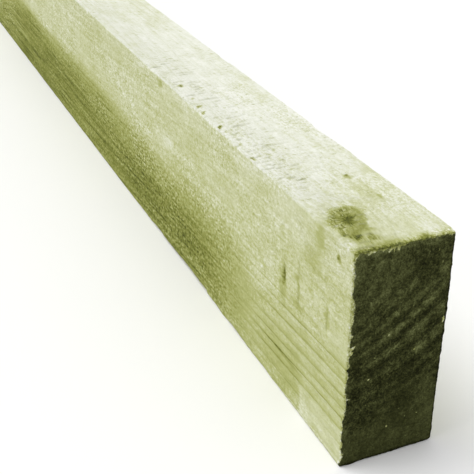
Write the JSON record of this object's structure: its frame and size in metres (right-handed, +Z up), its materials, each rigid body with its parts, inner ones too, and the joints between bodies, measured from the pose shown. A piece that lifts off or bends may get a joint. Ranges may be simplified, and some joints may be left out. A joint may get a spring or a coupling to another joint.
{
  "type": "treated fence rail",
  "caption": "Sawn softwood fence rail, pressure treated green, with a plain rectangular section and square saw-cut ends, nailed across posts in a post and rail fence.",
  "frame": {"origin": "middle of the underside, the narrow edge that the rail stands on", "axes": "+X along the rail, +Y through its thickness towards the posts, +Z up its depth"},
  "size_m": [1.8, 0.038, 0.087],
  "materials": {
    "treated_wood": "rough sawn, green preservative treated"
  },
  "bodies": {
    "root": {"fence_rail": "treated_wood"}
  },
  "joints": []
}
